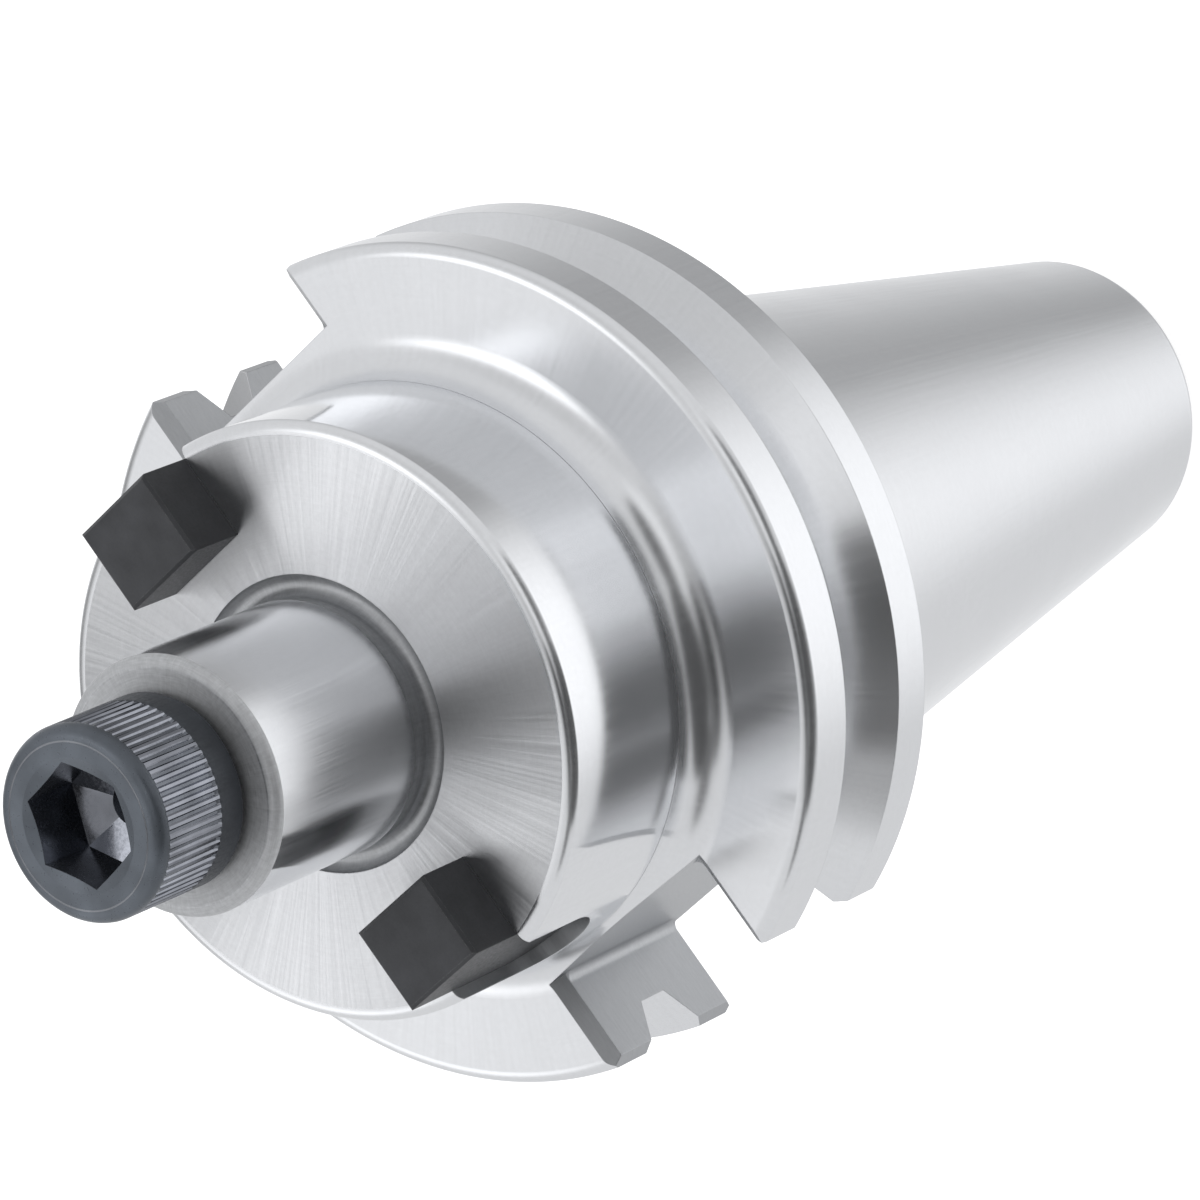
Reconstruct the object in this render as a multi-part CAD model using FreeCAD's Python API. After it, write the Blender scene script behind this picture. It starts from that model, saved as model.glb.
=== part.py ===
import FreeCAD, Part
import math
import os

# Shell mill arbor: a steep taper shank with a V-flange, a shoulder with two
# drive keys, a short pilot and a lock screw in the pilot's threaded hole.
# Lengths are millimetres. +Z runs along the arbor towards its nose, and
# z = 0 is the gauge line, where the taper has its gauge diameter.
# The keys and the flange's drive slots lie on the X axis.

# Steep taper shank
gauge_diameter = 44.45
taper_rate = 7 / 24            # loss of diameter for each millimetre of length
taper_length = 68.25           # gauge line to the small end
small_end_bevel_length = 1.0
small_end_bevel_depth = 0.35
neck_relief_width = 1.6        # narrow groove between the taper and the flange
neck_relief_depth = 0.7

# Pull stud hole in the small end, and the coolant hole beyond it
stud_register_diameter = 16.28
stud_register_depth = 4.76
stud_thread_diameter = 13.5    # inside diameter of the thread
stud_hole_depth = 41.3
stud_mouth_bevel = 0.5
coolant_diameter = 7.0
drill_point_angle = 118.0

# V-flange
flange_diameter = 63.5
flange_rear_z = 3.175
flange_front_z = 19.05
flange_rear_bevel = 0.95
flange_edge_radial = 1.0       # eased front edge of the rim
flange_edge_axial = 0.75
groove_centre_z = 11.11
groove_width = 7.05            # at the rim
groove_depth = 3.57
groove_angle = 60.0            # between its two walls

# Drive slots in the flange
slot_width = 16.38
slot_floor_near = 22.6         # axis to slot floor, on the +X side
slot_floor_far = 25.0          # axis to slot floor, on the -X side
slot_corner_radius = 0.8
slot_face_bevel = 0.95         # where a slot's walls meet the flange's faces
slot_rim_bevel = 0.8           # where a slot's walls meet the rim
slot_overrun = 1.5             # a slot's mill runs this far past the fillet

# Shoulder that the cutter sits on
shoulder_diameter = 44.45
shoulder_z = 34.925
shoulder_edge_radial = 1.0     # eased edge of the shoulder's face
shoulder_edge_axial = 0.6
fillet_radius = 2.9            # concave fillet from the shoulder to the flange
fillet_crease_angle = 4.5      # it meets the shoulder's surface at this slight angle

# Pilot, and the relief groove round its root
pilot_diameter = 19.05
pilot_length = 17.46
pilot_edge_radial = 0.8
pilot_edge_axial = 0.7
relief_outer_radius = 11.05
relief_depth = 1.0
relief_floor_share = 0.41      # flat part of the groove's bevelled floor
pilot_root_depth = 0.225       # the ground pilot stops above a thinner root
pilot_root_height = 1.0
pilot_root_bevel = 0.4

# Drive keys, pressed into keyways milled in the shoulder
key_width = 7.9
key_height = 5.1               # above the shoulder's face
key_inner_radius = 14.2
key_outer_radius = 20.95
key_edge_bevel = 0.25
keyway_length = 10.3           # shoulder's face to the keyway's round end
key_end_gap = 0.15

# Lock screw, and its hole in the pilot
screw_diameter = 9.525
screw_length = 25.4            # under the head
screw_clearance = 0.04         # radial, all round the screw in its hole
screw_hole_depth = 30.0
screw_mouth_bevel = 0.9
screw_tip_bevel = 0.8
screw_neck_diameter = 8.6      # just under the head
screw_neck_length = 1.2
head_gap = 0.6                 # the head stands this far off the pilot's end
head_diameter = 14.29
head_height = 9.525
head_face_radius = 6.1         # flat front face, inside the rounded edge
head_edge_height = 0.95        # the rounded edge, as two bevels that meet
head_shoulder_height = 0.34
head_shoulder_radial = 0.3
head_foot_bevel = 0.3
hex_across_flats = 7.94
hex_depth = 5.0
hex_floor_slope = 0.35         # fall of the drilled floor towards its middle
hex_floor_hole_radius = 1.2    # small blind hole in the middle of the floor
hex_floor_hole_depth = 1.2
hex_turn = 34.4                # degrees from the X axis to one corner
hex_mouth_bevel = 0.3          # radial, outside the corners
hex_mouth_slope = 0.4          # fall of the bevel towards the axis
knurl_count = 66
knurl_depth = 0.13
knurl_crest_share = 0.32       # flat top of a ridge, as a share of the pitch
knurl_valley_share = 0.36      # flat floor between two ridges
knurl_start = 2.6              # plain band between the head's foot and the knurl
knurl_end = 1.0                # plain band between the knurl and the face

# Places and radii that follow from the sizes above
gauge_radius = gauge_diameter / 2
flange_radius = flange_diameter / 2
shoulder_radius = shoulder_diameter / 2
pilot_radius = pilot_diameter / 2
small_end_z = -taper_length
nose_z = shoulder_z + pilot_length
screw_hole_floor_z = nose_z - screw_hole_depth
stud_hole_floor_z = small_end_z + stud_hole_depth
head_foot_z = nose_z + head_gap
head_face_z = head_foot_z + head_height
REACH = 2 * flange_diameter    # further out than any part of the arbor


def taper_radius(z):
    """Radius of the taper at height z."""
    return gauge_radius + taper_rate / 2 * z


def revolved(start, steps):
    """Solid of revolution about Z. A step is (r, z) or (middle, end) for an arc."""
    here = start
    edges = []
    for step in steps:
        curved = isinstance(step[0], tuple)
        end = step[1] if curved else step
        first = FreeCAD.Vector(here[0], 0, here[1])
        last = FreeCAD.Vector(end[0], 0, end[1])
        if curved:
            middle = FreeCAD.Vector(step[0][0], 0, step[0][1])
            edges.append(Part.Arc(first, middle, last).toShape())
        else:
            edges.append(Part.LineSegment(first, last).toShape())
        here = end
    closing = Part.LineSegment(
        FreeCAD.Vector(here[0], 0, here[1]), FreeCAD.Vector(start[0], 0, start[1])
    )
    edges.append(closing.toShape())
    face = Part.Face(Part.Wire(edges))
    return face.revolve(FreeCAD.Vector(0, 0, 0), FreeCAD.Vector(0, 0, 1), 360)


def prism(points, along):
    """Solid swept along a vector from the polygon through the points."""
    corners = [FreeCAD.Vector(*point) for point in points]
    return Part.Face(Part.makePolygon(corners + corners[:1])).extrude(FreeCAD.Vector(*along))


def turned_blank():
    """The arbor as it leaves the lathe, before its holes, slots and keyways."""
    groove_run = groove_depth * math.tan(math.radians(groove_angle / 2))
    groove_low = groove_centre_z - groove_width / 2
    groove_high = groove_centre_z + groove_width / 2
    groove_root = flange_radius - groove_depth

    crease = math.radians(fillet_crease_angle)
    halfway = (math.pi / 2 + crease) / 2
    fillet_r = shoulder_radius + fillet_radius * math.cos(crease)
    fillet_z = flange_front_z + fillet_radius
    fillet_middle = (
        fillet_r - fillet_radius * math.cos(halfway),
        fillet_z - fillet_radius * math.sin(halfway),
    )
    fillet_top = (shoulder_radius, fillet_z - fillet_radius * math.sin(crease))

    root_radius = pilot_radius - pilot_root_depth
    relief_radius = (relief_outer_radius - root_radius) / 2
    relief_r = (relief_outer_radius + root_radius) / 2
    relief_z = shoulder_z - relief_depth + relief_radius
    relief_floor_half = relief_radius * relief_floor_share
    root_top = shoulder_z + pilot_root_height

    small_end_radius = taper_radius(small_end_z) - small_end_bevel_depth
    bevel_z = small_end_z + small_end_bevel_length
    neck_z = flange_rear_z - neck_relief_width
    neck_radius = taper_radius(neck_z) - neck_relief_depth
    return revolved((0, small_end_z), [
        (small_end_radius, small_end_z),
        (taper_radius(bevel_z), bevel_z),
        (taper_radius(neck_z), neck_z),
        (neck_radius, neck_z + neck_relief_depth),
        (neck_radius, flange_rear_z),
        (flange_radius - flange_rear_bevel, flange_rear_z),
        (flange_radius, flange_rear_z + flange_rear_bevel),
        (flange_radius, groove_low),
        (groove_root, groove_low + groove_run),
        (groove_root, groove_high - groove_run),
        (flange_radius, groove_high),
        (flange_radius, flange_front_z - flange_edge_axial),
        (flange_radius - flange_edge_radial, flange_front_z),
        (fillet_r, flange_front_z),
        (fillet_middle, fillet_top),
        (shoulder_radius, shoulder_z - shoulder_edge_axial),
        (shoulder_radius - shoulder_edge_radial, shoulder_z),
        (relief_outer_radius, shoulder_z),
        (relief_outer_radius, relief_z),
        (relief_r + relief_floor_half, relief_z - relief_radius),
        (relief_r - relief_floor_half, relief_z - relief_radius),
        (root_radius, relief_z),
        (root_radius, root_top),
        (pilot_radius, root_top + pilot_root_bevel),
        (pilot_radius, nose_z - pilot_edge_axial),
        (pilot_radius - pilot_edge_radial, nose_z),
        (0, nose_z),
    ])


def drilled_holes():
    """The pull stud hole, the coolant hole and the screw hole as one turned core."""
    slope = 1 / math.tan(math.radians(drill_point_angle / 2))
    register_radius = stud_register_diameter / 2
    thread_radius = stud_thread_diameter / 2
    coolant_radius = coolant_diameter / 2
    screw_radius = screw_diameter / 2 + screw_clearance
    register_z = small_end_z + stud_register_depth
    stud_cone = (thread_radius - coolant_radius) * slope
    screw_cone = (screw_radius - coolant_radius) * slope
    return revolved((0, small_end_z), [
        (register_radius + stud_mouth_bevel, small_end_z),
        (register_radius, small_end_z + stud_mouth_bevel),
        (register_radius, register_z),
        (thread_radius + stud_mouth_bevel, register_z),
        (thread_radius, register_z + stud_mouth_bevel),
        (thread_radius, stud_hole_floor_z),
        (coolant_radius, stud_hole_floor_z + stud_cone),
        (coolant_radius, screw_hole_floor_z - screw_cone),
        (screw_radius, screw_hole_floor_z),
        (screw_radius, nose_z - screw_mouth_bevel),
        (screw_radius + screw_mouth_bevel, nose_z),
        (0, nose_z),
    ])


def drive_slot(floor):
    """Cutter for one drive slot on the +X side, with its floor at the given radius."""
    half = slot_width / 2
    low = flange_rear_z - neck_relief_width / 2
    high = flange_front_z + fillet_radius + slot_overrun
    corner_r = math.sqrt(flange_radius ** 2 - half ** 2)
    bevel_turn = math.asin(half / flange_radius) + slot_rim_bevel / flange_radius
    foot = (corner_r - slot_rim_bevel, half)
    rim = (flange_radius * math.cos(bevel_turn), flange_radius * math.sin(bevel_turn))
    flare = (REACH, foot[1] + (rim[1] - foot[1]) / (rim[0] - foot[0]) * (REACH - foot[0]))
    side = [(floor, half), foot, flare]
    outline = side + [(x, -y) for x, y in reversed(side)]
    slot = prism([(x, y, low) for x, y in outline], (0, 0, high - low))
    floor_edges = [
        edge for edge in slot.Edges
        if abs(edge.BoundBox.XMax - floor) < 1e-6 and edge.BoundBox.ZLength > high - low - 1e-6
    ]
    slot = slot.makeFillet(slot_corner_radius, floor_edges)

    inner = half - slot_corner_radius
    outer = half + slot_face_bevel
    for face_z, inwards, far_z in ((flange_front_z, -1, high), (flange_rear_z, 1, low)):
        bevel_z = face_z + inwards * slot_face_bevel
        for turn in (1, -1):
            wedge = [(inner, bevel_z), (half, bevel_z), (outer, face_z), (outer, far_z), (inner, far_z)]
            slot = slot.fuse(prism([(floor, turn * y, z) for y, z in wedge], (REACH - floor, 0, 0)))
    return slot


def key_outline(end_z, top_z):
    """Corners and round end of a key or keyway, seen from the side, as a face at x = 0."""
    half = key_width / 2
    straight_z = end_z + half
    low_left = FreeCAD.Vector(0, -half, straight_z)
    low_right = FreeCAD.Vector(0, half, straight_z)
    top_right = FreeCAD.Vector(0, half, top_z)
    top_left = FreeCAD.Vector(0, -half, top_z)
    round_end = Part.Arc(low_left, FreeCAD.Vector(0, 0, end_z), low_right)
    edges = [
        round_end.toShape(),
        Part.LineSegment(low_right, top_right).toShape(),
        Part.LineSegment(top_right, top_left).toShape(),
        Part.LineSegment(top_left, low_left).toShape(),
    ]
    return Part.Face(Part.Wire(edges))


def keyway():
    """Cutter for one keyway on the +X side, open at the shoulder's rim and face."""
    face = key_outline(shoulder_z - keyway_length, shoulder_z + key_height)
    face.translate(FreeCAD.Vector(key_inner_radius, 0, 0))
    return face.extrude(FreeCAD.Vector(REACH, 0, 0))


def turned_about(shape):
    """The same shape on the opposite side of the axis."""
    copy = shape.copy()
    copy.rotate(FreeCAD.Vector(0, 0, 0), FreeCAD.Vector(0, 0, 1), 180)
    return copy


def make_arbor_body():
    body = turned_blank().cut(drilled_holes())
    body = body.cut(drive_slot(slot_floor_near))
    body = body.cut(turned_about(drive_slot(slot_floor_far)))
    for cutter in (keyway(), turned_about(keyway())):
        body = body.cut(cutter)
    return body


def make_drive_key():
    """The key on the +X side: square at the front, round at its buried end."""
    top_z = shoulder_z + key_height
    face = key_outline(shoulder_z - keyway_length + key_end_gap, top_z)
    face.translate(FreeCAD.Vector(key_inner_radius, 0, 0))
    key = face.extrude(FreeCAD.Vector(key_outer_radius - key_inner_radius, 0, 0))
    top_edges = [edge for edge in key.Edges if edge.BoundBox.ZMin > top_z - 1e-6]
    return key.makeChamfer(key_edge_bevel, top_edges)


def screw_blank():
    """Head and shank of the lock screw, turned, with no socket and no knurl."""
    head_radius = head_diameter / 2
    shank_radius = screw_diameter / 2
    neck_radius = screw_neck_diameter / 2
    neck_z = head_foot_z - screw_neck_length
    tip_z = head_foot_z - screw_length
    return revolved((0, tip_z), [
        (shank_radius - screw_tip_bevel, tip_z),
        (shank_radius, tip_z + screw_tip_bevel),
        (shank_radius, neck_z - (shank_radius - neck_radius)),
        (neck_radius, neck_z),
        (neck_radius, head_foot_z),
        (head_radius - head_foot_bevel, head_foot_z),
        (head_radius, head_foot_z + head_foot_bevel),
        (head_radius, head_face_z - head_edge_height),
        (head_radius - head_shoulder_radial, head_face_z - head_shoulder_height),
        (head_face_radius, head_face_z),
        (0, head_face_z),
    ])


def hex_socket():
    """Cutter for the hexagon socket, its drilled floor and its bevelled mouth."""
    corner_radius = hex_across_flats / math.sqrt(3)
    floor_z = head_face_z - hex_depth
    corners = []
    for corner in range(6):
        angle = math.radians(hex_turn + 60 * corner)
        corners.append((corner_radius * math.cos(angle), corner_radius * math.sin(angle), floor_z))
    socket = prism(corners, (0, 0, hex_depth))
    cone_radius = hex_across_flats / 2
    cone_foot_z = floor_z - (cone_radius - hex_floor_hole_radius) * hex_floor_slope
    point = revolved((0, cone_foot_z - hex_floor_hole_depth), [
        (hex_floor_hole_radius, cone_foot_z - hex_floor_hole_depth),
        (hex_floor_hole_radius, cone_foot_z),
        (cone_radius, floor_z),
        (0, floor_z),
    ])
    mouth_radius = corner_radius + hex_mouth_bevel
    mouth = revolved((0, head_face_z - mouth_radius * hex_mouth_slope), [
        (mouth_radius, head_face_z),
        (0, head_face_z),
    ])
    return socket.fuse(point).fuse(mouth)


def knurl_cutter():
    """Ring with straight teeth inside, which leaves fine ridges round the head."""
    crest = head_diameter / 2
    valley = crest - knurl_depth
    low = head_foot_z + knurl_start
    high = head_face_z - knurl_end
    pitch = 2 * math.pi / knurl_count
    crest_turn = pitch * knurl_crest_share / 2
    valley_turn = pitch * (1 - knurl_valley_share) / 2
    corners = (
        (-valley_turn, valley),
        (-crest_turn, crest),
        (crest_turn, crest),
        (valley_turn, valley),
    )
    outline = []
    for ridge in range(knurl_count):
        for turn, radius in corners:
            angle = ridge * pitch + turn
            outline.append((radius * math.cos(angle), radius * math.sin(angle), low))
    ridges = prism(outline, (0, 0, high - low))
    ring = Part.makeCylinder(head_diameter, high - low, FreeCAD.Vector(0, 0, low))
    return ring.cut(ridges)


def make_lock_screw():
    return screw_blank().cut(knurl_cutter()).cut(hex_socket())


def main():
    os.makedirs("parts", exist_ok=True)
    key = make_drive_key()
    nodes = {
        "arbor_body": make_arbor_body(),
        "drive_key_1": key,
        "drive_key_2": turned_about(key),
        "lock_screw": make_lock_screw(),
    }
    for name, shape in nodes.items():
        solid = shape.Solids[0] if len(shape.Solids) == 1 else shape
        print(name, "solids", len(shape.Solids), "valid", solid.isValid(), "volume", round(solid.Volume, 1))
        solid.exportStep("parts/" + name + ".step")


main()
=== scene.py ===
import math

import bmesh
import bpy
import numpy as np
from mathutils import Matrix, Vector


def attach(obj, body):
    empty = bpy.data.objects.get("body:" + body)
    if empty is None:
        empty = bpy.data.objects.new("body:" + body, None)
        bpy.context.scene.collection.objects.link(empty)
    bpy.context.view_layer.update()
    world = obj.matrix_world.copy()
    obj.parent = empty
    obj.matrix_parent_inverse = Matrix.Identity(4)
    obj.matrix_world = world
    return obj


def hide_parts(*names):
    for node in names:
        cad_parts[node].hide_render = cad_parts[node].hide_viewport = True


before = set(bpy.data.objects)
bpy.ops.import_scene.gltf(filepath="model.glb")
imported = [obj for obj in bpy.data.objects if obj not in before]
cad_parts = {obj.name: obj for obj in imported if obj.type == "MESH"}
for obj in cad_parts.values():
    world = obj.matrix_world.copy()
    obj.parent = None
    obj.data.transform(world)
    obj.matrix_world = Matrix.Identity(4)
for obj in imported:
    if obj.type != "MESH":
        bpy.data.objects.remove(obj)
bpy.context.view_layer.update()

# Sizes are written in millimetres, and MM turns them into Blender's metres.
# The frame is the arbor's own: +Z to the nose, z = 0 at the gauge line.
MM = 0.001

# Steep taper
GAUGE_RADIUS = 22.225
TAPER_SLOPE = 7 / 48
SMALL_END_Z = -68.25
SMALL_END_BEVEL = (0.35, 1.0)
SMALL_END_SWELL = 0.1
NECK_WIDTH = 1.6
NECK_DEPTH = 0.7

# Holes in the small end and through the middle
STUD_REGISTER_RADIUS = 8.14
STUD_REGISTER_DEPTH = 4.76
STUD_THREAD_RADIUS = 6.75
STUD_THREAD_MAJOR = 7.94
STUD_THREAD_PITCH = 2.309
STUD_THREAD_FADE = 1.0
STUD_HOLE_DEPTH = 41.3
COOLANT_RADIUS = 3.5
HOLE_BEVEL = 0.5
DRILL_HALF_ANGLE = 59.0

# V-flange
FLANGE_RADIUS = 31.75
FLANGE_REAR_Z = 3.175
FLANGE_FRONT_Z = 19.05
REAR_BEVEL = 0.95
RIM_EDGE = (1.0, 0.75)
GROOVE_LOW_Z = 7.585
GROOVE_HIGH_Z = 14.635
GROOVE_DEPTH = 3.57
GROOVE_WALL_ANGLE = 30.0

# Drive slots
SLOT_WIDTH = 16.38
SLOT_FLOORS = (22.6, 25.0)      # on the +X side and on the -X side
SLOT_CORNER_RADIUS = 0.8
SLOT_FACE_BEVEL = 0.95
SLOT_RIM_BEVEL = 0.8
SLOT_OVERRUN = 1.5              # a slot's mill runs this far past the fillet

# Shoulder, its fillet, and the relief groove round the pilot
SHOULDER_Z = 34.925
SHOULDER_EDGE = (1.0, 0.6)
FILLET_RADIUS = 2.9
FILLET_CREASE_ANGLE = 4.5       # the fillet stops this short of running along the shoulder
CREASE_WIDTH = 0.1              # dull line where the fillet meets the shoulder
RELIEF_OUTER = 11.05
RELIEF_DEPTH = 1.0
PILOT_ROOT_DEPTH = 0.225
PILOT_ROOT_HEIGHT = 1.0
PILOT_ROOT_BEVEL = 0.4

# Pilot and its hole
PILOT_RADIUS = 9.525
NOSE_Z = 52.385
NOSE_EDGE = (0.8, 0.7)
NOSE_SWELL = 0.18
NOSE_WORN_WIDTH = 0.12          # bright line where the nose's edge is worn
SCREW_HOLE_RADIUS = 4.8025
SCREW_HOLE_FLOOR_Z = 22.385
SCREW_MOUTH_BEVEL = 0.9

# Keyways
KEYWAY_WIDTH = 7.9
KEYWAY_FLOOR = 14.2
KEYWAY_LENGTH = 10.3
KEYWAY_OVERRUN = 10.0           # the keyway's mill starts this far above the shoulder

# Lock screw
HEAD_RADIUS = 7.145
HEAD_FOOT_EDGE = 0.3            # the foot's edge is rounded by this much
HEAD_FOOT_ROUND = 0.09          # how far the middle of that rounding keeps from the corner
HEAD_FOOT_Z = 52.985
HEAD_FACE_Z = 62.51
HEAD_FACE_RADIUS = 6.1
HEAD_EDGE_HEIGHT = 0.95
HEAD_EDGE_BULGE = 0.2
FACE_LIP = (0.06, 0.04)         # half width and height of the fine lip round the face
HEX_ACROSS_FLATS = 7.94
HEX_DEPTH = 5.0
HEX_TURN = 34.4
HEX_MOUTH_BEVEL = 0.3
HEX_MOUTH_SLOPE = 0.4
HEX_FLOOR_SLOPE = 0.35
HEX_FLOOR_HOLE = (1.2, 1.2)     # radius and depth
HOLE_MOUTH_BEVEL = 0.35
KNURL_COUNT = 66
KNURL_FLAT_SHARE = 1 / 3        # share of the pitch that a crest takes, and a valley too
KNURL_LOW_Z = 55.585
KNURL_HIGH_Z = 61.51
KNURL_START = 0.15              # the head is still round this far below the knurl
KNURL_MIDDLE_Z = (KNURL_LOW_Z + KNURL_HIGH_Z) / 2
KNURL_HEIGHTS = (KNURL_LOW_Z + 0.02, KNURL_LOW_Z + 0.3, KNURL_MIDDLE_Z, KNURL_HIGH_Z - 0.12)
KNURL_DEPTHS = (0.05, 0.17, 0.14, 0.07)     # at those heights
KNURL_FACETS = 12               # facets across one ridge
KNURL_WORN_SHARE = 0.8          # the ridges are worn bright this far down their flanks
SHANK_RADIUS = 4.7625
SHANK_LENGTH = 25.4
THREAD_PITCH = 1.058
THREAD_DEPTH = 0.62
THREAD_FADE = 0.8               # length over which the shank's thread dies out
TIP_LENGTH = 0.4                # bevelled tip of the shank
TIP_SHARE = 0.94                # radius of its end, as a share of the thread's root
NECK_RADIUS = 4.3
NECK_LENGTH = 1.2

# Camera, from the photograph's fitted view
CAMERA_PLACE = (91.2415, 330.6544, 437.4590)
CAMERA_RIGHT = (0.569778, 0.594439, -0.567446)
CAMERA_UP = (-0.805164, 0.542026, -0.240663)
CAMERA_LENS = 221.823
SENSOR_WIDTH = 36.0

# Fineness of the meshes
COLUMNS = 288                   # facets round a turned surface
THREAD_COLUMNS = 96             # facets round a thread
THREAD_ROWS = 12                # facets along one pitch of a thread
CENTRE_RADIUS = 0.02            # the pinhole left in the middle of a closed round face
FACE_BLOCK = 4000               # faces whose place on the section is looked up together
EDGE_SWELL = 0.16               # how far an eased edge bulges, as a share of its width
HEAD_SHARP_ANGLE = 14           # edges of the screw's head sharper than this stay sharp
THREAD_SHARP_ANGLE = 40


def arc(centre, radius, start, end, steps):
    """Points of a circular arc in the (r, z) plane, with angles in degrees."""
    points = []
    for step in range(steps + 1):
        angle = math.radians(start + (end - start) * step / steps)
        points.append((centre[0] + radius * math.cos(angle), centre[1] + radius * math.sin(angle)))
    return points


def rounded(start, end, share, steps=8):
    """Points of a shallow arc from start to end that bulges outwards."""
    points = []
    across = (end[1] - start[1], start[0] - end[0])
    for step in range(steps + 1):
        t = step / steps
        swell = 4 * t * (1 - t) * share
        r = start[0] + (end[0] - start[0]) * t + across[0] * swell
        z = start[1] + (end[1] - start[1]) * t + across[1] * swell
        points.append((r, z))
    return points


def new_object(name, verts, faces, materials, indices=None):
    """Mesh object from points in millimetres."""
    mesh = bpy.data.meshes.new(name)
    mesh.from_pydata([Vector(v) * MM for v in verts], [], faces)
    for material in materials:
        mesh.materials.append(material)
    if indices is not None:
        mesh.polygons.foreach_set("material_index", indices)
    mesh.update()
    obj = bpy.data.objects.new(name, mesh)
    bpy.context.scene.collection.objects.link(obj)
    return obj


# Materials

# Noise, in cells per metre of the surface
STEEL_CLOUD = 90.0
STEEL_SPECK = 2600.0
MILLED_MARKS = (900.0, 900.0, 12000.0)      # stretched across the cutter's path
MILLED_GRAIN = 5000.0
OXIDE_GRAIN = 4500.0
OXIDE_CLOUD = 350.0
# Turned marks: cells from one side of the axis to the other, and per metre across the marks
MARK_CELLS = 6.0
FAN_CELLS = 90.0
FAN_ACROSS = 60.0


def nodes_of(material):
    material.use_nodes = True
    tree = material.node_tree
    shader = tree.nodes["Principled BSDF"]
    return tree, shader


def turned_coordinates(tree, along, across):
    """Coordinates for marks that run round the axis: slow along them, fast across them."""
    place = tree.nodes.new("ShaderNodeTexCoord").outputs["Object"]
    split = tree.nodes.new("ShaderNodeSeparateXYZ")
    tree.links.new(place, split.inputs[0])
    flat = tree.nodes.new("ShaderNodeCombineXYZ")
    tree.links.new(split.outputs["X"], flat.inputs["X"])
    tree.links.new(split.outputs["Y"], flat.inputs["Y"])
    radius = tree.nodes.new("ShaderNodeVectorMath")
    radius.operation = "LENGTH"
    tree.links.new(flat.outputs[0], radius.inputs[0])
    around = tree.nodes.new("ShaderNodeVectorMath")
    around.operation = "NORMALIZE"
    tree.links.new(flat.outputs[0], around.inputs[0])
    spread = tree.nodes.new("ShaderNodeVectorMath")
    spread.operation = "SCALE"
    spread.inputs["Scale"].default_value = along
    tree.links.new(around.outputs[0], spread.inputs[0])
    height = tree.nodes.new("ShaderNodeMath")
    height.operation = "MULTIPLY"
    height.inputs[1].default_value = across
    tree.links.new(split.outputs["Z"], height.inputs[0])
    lift = tree.nodes.new("ShaderNodeCombineXYZ")
    tree.links.new(height.outputs[0], lift.inputs["Z"])
    vector = tree.nodes.new("ShaderNodeVectorMath")
    vector.operation = "ADD"
    tree.links.new(spread.outputs[0], vector.inputs[0])
    tree.links.new(lift.outputs[0], vector.inputs[1])
    depth = tree.nodes.new("ShaderNodeMath")
    depth.operation = "MULTIPLY"
    depth.inputs[1].default_value = across
    tree.links.new(radius.outputs["Value"], depth.inputs[0])
    return vector.outputs[0], depth.outputs[0]


def noise(tree, vector, w=None, scale=1.0, detail=3.0):
    node = tree.nodes.new("ShaderNodeTexNoise")
    node.inputs["Scale"].default_value = scale
    node.inputs["Detail"].default_value = detail
    if w is not None:
        node.noise_dimensions = "4D"
        tree.links.new(w, node.inputs["W"])
    tree.links.new(vector, node.inputs["Vector"])
    return node.outputs["Fac"]


def ranged(tree, value, low, high, start=0.3, end=0.7):
    node = tree.nodes.new("ShaderNodeMapRange")
    node.inputs["From Min"].default_value = start
    node.inputs["From Max"].default_value = end
    node.inputs["To Min"].default_value = low
    node.inputs["To Max"].default_value = high
    tree.links.new(value, node.inputs["Value"])
    return node.outputs["Result"]


def combined(tree, values, operation, start):
    """All the values joined by one operation, from a starting number."""
    total = None
    for value in values:
        join = tree.nodes.new("ShaderNodeMath")
        join.operation = operation
        join.inputs[0].default_value = start
        if total is not None:
            tree.links.new(total, join.inputs[0])
        tree.links.new(value, join.inputs[1])
        total = join.outputs[0]
    return total


def bumped(tree, shader, heights, edge_radius):
    """Adds bumps, given as (value, strength, distance in mm), over softened edges."""
    bevel = tree.nodes.new("ShaderNodeBevel")
    bevel.samples = 4
    bevel.inputs["Radius"].default_value = edge_radius * MM
    normal = bevel.outputs[0]
    for value, strength, distance in heights:
        bump = tree.nodes.new("ShaderNodeBump")
        bump.inputs["Strength"].default_value = strength
        bump.inputs["Distance"].default_value = distance * MM
        tree.links.new(value, bump.inputs["Height"])
        tree.links.new(normal, bump.inputs["Normal"])
        normal = bump.outputs[0]
    tree.links.new(normal, shader.inputs["Normal"])


def edge_wear(tree, edge_radius, grain):
    """Mask that is 1 on sharp outer edges, broken up by the grain."""
    bevel = tree.nodes.new("ShaderNodeBevel")
    bevel.samples = 4
    bevel.inputs["Radius"].default_value = edge_radius * MM
    face = tree.nodes.new("ShaderNodeNewGeometry")
    dot = tree.nodes.new("ShaderNodeVectorMath")
    dot.operation = "DOT_PRODUCT"
    tree.links.new(bevel.outputs[0], dot.inputs[0])
    tree.links.new(face.outputs["True Normal"], dot.inputs[1])
    edge = ranged(tree, dot.outputs["Value"], 1.0, 0.0, 0.80, 0.97)
    broken = tree.nodes.new("ShaderNodeMath")
    broken.operation = "MULTIPLY"
    tree.links.new(edge, broken.inputs[0])
    tree.links.new(ranged(tree, grain, 0.1, 1.0, 0.35, 0.65), broken.inputs[1])
    return broken.outputs[0]


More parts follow.
